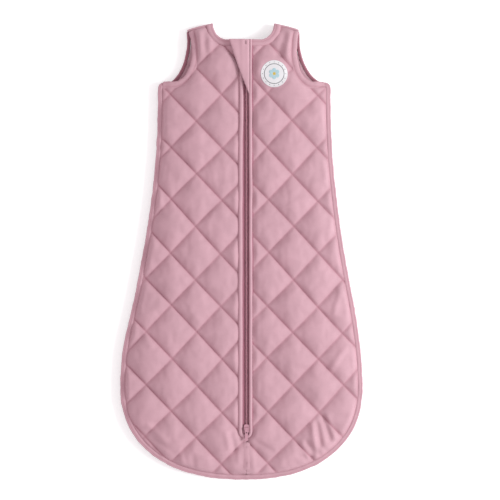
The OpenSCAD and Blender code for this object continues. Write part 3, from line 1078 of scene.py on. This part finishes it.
def zip_parts():
    """Each side of the zip: its rolled facing, its woven tape and its row of coil."""
    tape_z = (TAPE[0][2] + TAPE[1][2]) / 2
    for name, side in SIDES.items():
        ys = np.append(np.arange(ZIP_FOOT, NECK_Y - 1, 3.0), NECK_Y + 0.6)
        lift = noises(ys / 26, 50 + side, 0)
        roll_at, half = ROLL[name]
        roll = [(a * half, b) for a, b in ROLL_PROFILE]
        drift = (1.3 if side < 0 else 0.5) * smooth((ys - 110) / 120)
        wobble = side * 0.5 * noises(ys / 37, 40 + side, 0) - drift
        path = [(roll_at + w, y, 0.3 * h) for y, w, h in zip(ys, wobble, lift) if y > FOOT_TURN]
        start = [
            (roll_at * math.sin(a), FOOT_TURN - FOOT_DEEP * math.cos(a), -0.9 * math.cos(a))
            for a in np.radians(np.arange(0, 85, 12))
        ]
        path = [(ZIP_X + side * max(a, 1.0), y, TOP_Z - 1.9 + z) for a, y, z in start + path]
        obj = subdivide(sweep(f"{name}_zip_piping", path, roll))
        finish(obj, "binding", [f"{name}_zip_facing"])
        bend(obj, name)

        ys = np.arange(FOOT_TURN - FOOT_DEEP + 2.5, NECK_Y - 0.5, 3.0)
        lift = noises(ys / 26, 50 + side, 0)
        path = np.column_stack([ZIP_X + side * 5.6 + 0 * ys, ys, tape_z + 0.15 * lift])
        profile = [(a * -side, b) for a, b in TAPE_PROFILE]
        obj = sweep(f"{name}_woven_tape", path, profile if side < 0 else profile[::-1])
        finish(obj, "tape", [f"{name}_zip_tape"])
        bend(obj, name)
        bend(coil(name, side, tape_z), name)


def coil(name, side, tape_z):
    """One row of the zip's nylon coil.
    Each loop reaches a little past the middle, between two of the other row."""
    pitch, verts, faces, uv = 1.9, [], [], []
    low, high = TEETH[0][1], TEETH[1][1]
    stations = [(-0.6, 0.25), (-0.35, 0.62), (0.3, 0.8), (1.1, 0.85), (1.7, 0.6)]
    sides = 6
    y = low + (0.25 if side > 0 else 0.75) * pitch
    while y < high - 0.6:
        first = len(verts)
        for across, scale in stations:
            for c, s in ring(scale, scale, sides):
                point = (ZIP_X + side * across, y + 0.42 * c, tape_z + 0.3 + 1.15 * s)
                verts.append(point)
                uv.append(point[:2])
        starts = [first + k * sides for k in range(len(stations))]
        loop = [tuple(starts[0] + j for j in range(sides)), tuple(starts[-1] + j for j in range(sides))[::-1]]
        for a, b in zip(starts, starts[1:]):
            for j in range(sides):
                j2 = (j + 1) % sides
                loop.append((a + j, b + j, b + j2, a + j2))
        faces += loop if side > 0 else [f[::-1] for f in loop]
        y += pitch
    obj = make_mesh(f"{name}_zip_coil", verts, faces, uv=uv)
    return finish(obj, "teeth", [f"{name}_zip_teeth"])


# ---------------------------------------------------------------- chin guard, patch and small parts


def chin_guard():
    """A soft double triangle over the top of the zip. Its left edge stands off the front."""
    low, high = GUARD[0] - (0, 2, 0), GUARD[1] + (1.3, -0.5, 0)
    tip = np.array([high[0], low[1]])
    left, right = np.array([low[0], high[1]]), np.array([high[0], high[1]])
    free_edge = [
        left + (tip - left) * t - np.array([1.2 * math.sin(math.pi * t), 0]) for t in np.linspace(0, 1, 30)
    ]
    outline = np.array([*free_edge, *[tip + (right - tip) * t for t in np.linspace(0.05, 1, 28)]])
    xs, ys = (np.arange(low[k], high[k], 1.9) for k in (0, 1))
    grid = np.array([(x, y) for x in xs for y in ys])
    verts, faces, closed_rim = filled(outline, grid, step=1.8, clear=0.8)
    xy = np.array([(v[0], v[1]) for v in verts])
    x, y = xy.T
    d = distance_to(xy, closed_rim)
    puff = rounded(d, 3.0, power=2)
    free = (high[0] - x) / (high[0] - low[0])
    rope = bell(d - 2.6, 0.8)
    z = low[2] + 0.4 + 3.2 * free * (1 - 0.4 * free)
    z = z + 0.8 * ripple(x, y, 6, 45, 61.0) * puff
    z = z + 0.9 * bell(x + 2, 4.0) * smooth((y - 296) / 20)
    top = np.column_stack([x, y, z + 1.3 + 0.9 * puff - 0.28 * rope])
    bottom = np.column_stack([x, y, z - 0.1])
    obj = closed_sheet("chin_guard_flap", top, bottom, [tuple(f) for f in faces])
    finish(obj, "binding", ["chin_guard"])
    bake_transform(obj)
    return BVHTree.FromPolygons([Vector(p) for p in top], [tuple(f) for f in faces])


def surface_z(tree, x, y, default=TOP_Z):
    hit = tree.ray_cast(Vector((x, y, 200)), Vector((0, 0, -1)))
    return hit[0][2] if hit[0] is not None else default


def stitches(name, lines, tree, length=2.6, gap=1.0, thick=0.3, sink=0.22):
    """Thread along lines of points: short rounded stitches that lie on a surface."""
    verts, faces, uv = [], [], []
    for line in lines:
        p = resample(line, (length + gap) / 4) if len(line) > 1 else line
        step = 4
        for k in range(0, len(p) - step, step):
            a, b = p[k], p[k + 3]
            za, zb = surface_z(tree, *a), surface_z(tree, *b)
            if abs(za - zb) > 3:
                continue
            a3, b3 = np.array([*a, za - sink]), np.array([*b, zb - sink])
            way = b3 - a3
            size = np.linalg.norm(way)
            if size < 0.5:
                continue
            way /= size
            across = np.cross(way, (0, 0, 1))
            across /= np.linalg.norm(across)
            up = np.cross(across, way)
            first = len(verts)
            for t, r in ((0, 0.25), (0.18, 0.9), (0.82, 0.9), (1, 0.25)):
                for c, s in ((1, 0), (0, 1), (-1, 0), (0, -1)):
                    point = a3 + way * size * t + (across * c + up * s) * thick * r
                    verts.append(point)
                    uv.append((c + s, t * size))
            for i in range(3):
                for j in range(4):
                    j2 = (j + 1) % 4
                    q = first + i * 4
                    faces.append((q + j, q + j2, q + 4 + j2, q + 4 + j))
            faces += [(first + 3, first + 2, first + 1, first), tuple(first + 12 + j for j in range(4))]
    return finish(face_outwards(make_mesh(name, verts, faces, uv=uv)), "thread")


def quilt_lines(outline, side, clear=5.0):
    """The stitch lines inside an outline, as runs of points."""
    rim, closed_rim = rim_of(outline)
    lines = []
    t = np.arange(*LATTICE, 0.02)
    for second_kind in (False, True):
        for k in range(*LATTICE):
            line = np.full_like(t, k)
            xy = np.column_stack(lattice_xy(*((t, line) if second_kind else (line, t)), side))
            good = inside(xy, rim)
            if not good.any():
                continue
            good[good] = distance_to(xy[good], closed_rim) > clear
            runs = np.flatnonzero(np.diff(np.concatenate([[0], good.astype(int), [0]])))
            lines += [xy[a:b] for a, b in zip(runs[::2], runs[1::2]) if b - a > 6]
    return lines


def round_patch(tree):
    """A round twill patch with a ring and a plain flower, sewn on the right half of the front."""
    centre = (PATCH[0] + PATCH[1])[:2] / 2
    radius = (PATCH[1] - PATCH[0])[0] / 2
    rings, spokes = 14, 64
    lift = 0.55
    verts, uv = [], []

    def ground(x, y):
        around = [surface_z(tree, x + dx, y + dy) for dx, dy in ((0, 0), (2, 0), (-2, 0), (0, 2), (0, -2))]
        return sum(around) / 5

    for level in (1, 0):
        for k in range(rings + 1):
            r = radius * k / rings
            for j in range(spokes if k else 1):
                a = 2 * math.pi * j / spokes
                x, y = centre[0] + r * math.cos(a), centre[1] + r * math.sin(a)
                edge = 0.45 * max(0, (r / radius - 0.93) / 0.07) ** 2
                verts.append((x, y, ground(x, y) + (lift - edge if level else -0.25)))
                uv.append((x, y))
    per = len(verts) // 2
    faces = []
    for base, flip in ((0, False), (per, True)):
        index = lambda k, j: base + (0 if k == 0 else 1 + (k - 1) * spokes + j % spokes)
        for k in range(rings):
            for j in range(spokes):
                f = (index(k, j), index(k + 1, j), index(k + 1, j + 1), index(k, j + 1))
                f = f[:3] if k == 0 else f
                faces.append(f[::-1] if flip else f)
    last = 1 + (rings - 1) * spokes
    for j in range(spokes):
        a, b = last + j, last + (j + 1) % spokes
        faces.append((a, a + per, b + per, b))
    disc = make_mesh("disc", verts, faces, uv=uv)
    finish(disc, "patch")
    top = BVHTree.FromPolygons([Vector(v) for v in verts[:per]], [f for f in faces if max(f) < per])
    raised = [disc]
    flat = [(-1, -0.12), (-0.7, 0.16), (0, 0.24), (0.7, 0.16), (1, -0.12)]

    def embroider(points, material, half, closed=True):
        path = np.array([(x, y, surface_z(top, x, y) + 0.05) for x, y in points])
        obj = sweep("satin", path, [(a * half, b) for a, b in flat], closed=closed)
        finish(obj, material)
        raised.append(obj)

    def arc(r, start, end, n, about=centre):
        turns = np.radians(np.linspace(start, end, n))
        return [(about[0] + r * math.cos(a), about[1] + r * math.sin(a)) for a in turns]

    embroider(arc(radius - 0.9, 0, 356, 90), "patch", 0.85)
    embroider(arc(radius * 0.73, 0, 355, 72), "patch_grey", 0.5)
    for k in range(6):
        turn = math.radians(60 * k + 30)
        middle = (centre[0] + 5.4 * math.cos(turn), centre[1] + 5.4 * math.sin(turn))
        for r in (2.3, 0.9):
            embroider(arc(r, 0, 340, 18, middle), "patch_blue", 0.85)
    for r in (1.6, 0.5):
        embroider(arc(r, 0, 340, 18), "patch_yellow", 0.7)
    for spot in arc(radius * 0.86, 0, 337.5, 16):
        embroider(arc(0.35, 0, 330, 8, spot), "patch_grey", 0.28)
    obj = finish(join("flower_patch", raised), None, ["round_patch"])
    bend(obj, "right")


def grid_faces(nx, ny):
    """Squares of a net of points, given row by row."""
    return [
        (j * nx + i, j * nx + i + 1, (j + 1) * nx + i + 1, (j + 1) * nx + i)
        for j in range(ny - 1) for i in range(nx - 1)
    ]


def centre_seam(front):
    """The seam below the zip: a narrow doubled band that lies on both halves of the front."""
    ys = np.arange(-HALF_LEN + BINDING + 0.6, ZIP_FOOT - 1, 1.6)
    xs = np.array([-5.6, -4.4, -2.8, -1.2, 1.2, 2.8, 4.4, 5.6])
    rise = np.array([-0.8, 0.1, 0.35, 0.55, 0.55, 0.35, 0.1, -0.8])
    halves = (front["left"][0], front["right"][0])
    level = np.array([[surface_z(halves[int(x > 0)], ZIP_X + x, y) for x in xs] for y in ys])
    evenly = np.pad(level, ((2, 2), (1, 1)), mode="edge")
    rows, columns = level.shape
    level = sum(evenly[k : k + rows, j : j + columns] for k in range(5) for j in range(3)) / 15
    x, y = np.tile(xs, rows), np.repeat(ys, columns)
    pucker = 0.25 * ripple(x, y, 9, 4, 91.0).reshape(rows, columns)
    top = np.column_stack([ZIP_X + x, y, (level + rise + pucker).ravel()])
    obj = subdivide(closed_sheet("centre_front_ridge", top, top - (0, 0, 1), grid_faces(columns, rows)))
    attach(finish(obj, "binding", ["centre_front_seam"]), "root")


def bartack(name, path, radius):
    """A tight zigzag of thread."""
    return sweep(name, path, ring(radius, radius, 6))


def tacks(front, guard_tree):
    """The rows of stitches at the zip's foot and on the chin guard."""
    xs = np.arange(ZIP_X - 3.5, ZIP_X + 3.6, 0.5)
    y = ZIP_FOOT - 3.4
    halves = (front["left"][0], front["right"][0])
    z = [surface_z(halves[int(x > ZIP_X)], x, y, TOP_Z - 3) + 0.05 for x in xs]
    path = np.array([(x, y + (0.7 if k % 2 else -0.7), z[k]) for k, x in enumerate(xs)])
    obj = bartack("zip_foot_bartack", path, 0.28)
    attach(finish(obj, "binding", ["zip_foot_tack"]), "root")

    low, high = box("chin_guard_tack")
    x = (low[0] + high[0]) / 2
    ys = np.arange(low[1], high[1], 0.45)
    z = [surface_z(guard_tree, x, y, 29) + 0.3 for y in ys]
    path = np.array([(x + (1.3 if k % 2 else -1.3), y, z[k]) for k, y in enumerate(ys)])
    obj = bartack("guard_bartack", path, 0.4)
    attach(finish(obj, "binding", ["chin_guard_tack"]), "chin_guard")


def bottom_stop():
    """The moulded bar that ends the two coils, inside the curve of the facings."""
    low, high = box("zip_bottom_stop")
    z = (low[2] + high[2]) / 2 + 0.2
    path = [(x, FOOT_TURN - 3.6, z) for x in np.linspace(ZIP_X - 2.6, ZIP_X + 2.6, 7)]
    swell = [0.7, 0.95, 1, 1, 1, 0.95, 0.7]
    obj = subdivide(sweep("moulded_bottom_stop", path, ring(0.75, 1.2, 12), swell=swell))
    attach(finish(obj, "teeth", ["zip_bottom_stop"]), "root")


def inner_guard():
    """The strip of lining behind the zip, with a turned left edge."""
    low, high = box("inner_zip_guard")
    ys = np.arange(low[1], high[1], 6.0)
    x, _, z = (low + high) / 2
    path = np.column_stack([np.full_like(ys, x), ys, z - 0.9 + 0.4 * noises(ys / 30, 71, 0)])
    half = (high[0] - low[0]) / 2
    upper = [(-half + 1, 0.6), (-half + 2.4, 0.35), (half - 2, 0.4)]
    strip = [(-half, 0), *upper, (half, 0), (half - 2, -0.4), (-half + 2.4, -0.35), (-half + 1, -0.6)]
    obj = subdivide(sweep("inner_zip_strip", path, strip))
    finish(obj, "lining", ["inner_zip_guard"])
    bend(obj, "right")


def care_label(front):
    """A blank label on the lining, inside the back of the neck."""
    low, high = box("care_label")
    nx, ny = 16, 19
    grid = np.meshgrid(np.linspace(low[0], high[0], nx), np.linspace(low[1], high[1], ny))
    x, y = (g.ravel() for g in grid)
    level = np.array([surface_z(front["back"], *p, 7) for p in zip(x, y)])
    tops = np.column_stack([x, y, level + 0.55 + 0.3 * noises(x / 12, y / 12, 80)])
    obj = closed_sheet("blank_care_label", tops, tops - (0, 0, 0.3), grid_faces(nx, ny))
    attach(finish(obj, "label", ["care_label"]), "root")


def hardware():
    """The slider, its pull and the small plastic ends keep their frame shapes, with rounded edges."""
    for node, material, round_mm in (
        ("slider_body", "enamel", 0.28), ("pull_tab", "enamel", 0.28), ("insertion_pin", "teeth", 0.3),
        ("retaining_box", "teeth", 0.3),
    ):
        obj = frame["nodes"][node]
        weld = obj.modifiers.new("weld", "WELD")
        weld.merge_threshold = 0.00001
        soft = obj.modifiers.new("bevel", "BEVEL")
        soft.width = round_mm * MM
        soft.segments = 3
        soft.limit_method = "ANGLE"
        soft.angle_limit = math.radians(35)
        obj.data.materials.clear()
        obj.data.materials.append(MATS[material])


# ---------------------------------------------------------------- build

trees = {half_name: front_half(half_name) for half_name in SIDES}
trees["back"] = back_panel()
outer_bindings()
armhole_bindings()
neck_bindings()
shoulder_seams()
zip_parts()
guard = chin_guard()
for half_name, half_side in SIDES.items():
    surface, rim_line = trees[half_name]
    thread = stitches(f"{half_name}_quilt_thread", quilt_lines(rim_line, half_side), surface)
    bend(thread, half_name)
round_patch(trees["right"][0])
centre_seam(trees)
tacks(trees, guard)
bottom_stop()
inner_guard()
care_label(trees)
hardware()


# ---------------------------------------------------------------- floor, light and camera


def floor():
    half, sunk = 6.0, 0.0002
    mesh = bpy.data.meshes.new("floor")
    corners = [(-half, -half, 0), (half, -half, 0), (half, half, 0), (-half, half, 0)]
    mesh.from_pydata(corners, [], [(0, 1, 2, 3)])
    ground = link(bpy.data.objects.new("floor", mesh))
    n = Nodes("floor")
    n.shader.inputs["Base Color"].default_value = (0.95, 0.95, 0.95, 1)
    n.shader.inputs["Roughness"].default_value = 0.9
    n.shader.inputs["Emission Color"].default_value = (0.8, 1, 0.96, 1)
    n.shader.inputs["Emission Strength"].default_value = 0.3
    mesh.materials.append(n.mat)
    ground.location.z = -sunk


def lights():
    """A pink-white studio all round, and one large key light from the right."""
    world = bpy.data.worlds.new("studio")
    bpy.context.scene.world = world
    world.use_nodes = True
    background = world.node_tree.nodes["Background"]
    background.inputs["Color"].default_value = (1, 0.87, 0.905, 1)
    background.inputs["Strength"].default_value = 0.82

    key = bpy.data.lights.new("key", "AREA")
    key.size = 1.3
    key.energy = 97
    key.color = (0.93, 1, 0.985)
    lamp = link(bpy.data.objects.new("key", key))
    lamp.location = (2.9, -0.1, 1.75)
    lamp.rotation_euler = (-lamp.location).to_track_quat("-Z", "Y").to_euler()


def camera():
    """Straight down on the bag, from where view metres of floor fill the picture."""
    view, aim = 0.75, Vector((0.0098, 0.0022, 0.02))
    cam = bpy.data.cameras.new("camera")
    cam.lens = 100
    cam.sensor_width = 36
    obj = link(bpy.data.objects.new("camera", cam))
    obj.location = aim + Vector((0, 0, cam.lens / cam.sensor_width * view))
    bpy.context.scene.camera = obj
    bpy.context.scene.view_settings.view_transform = "Standard"


floor()
lights()
camera()
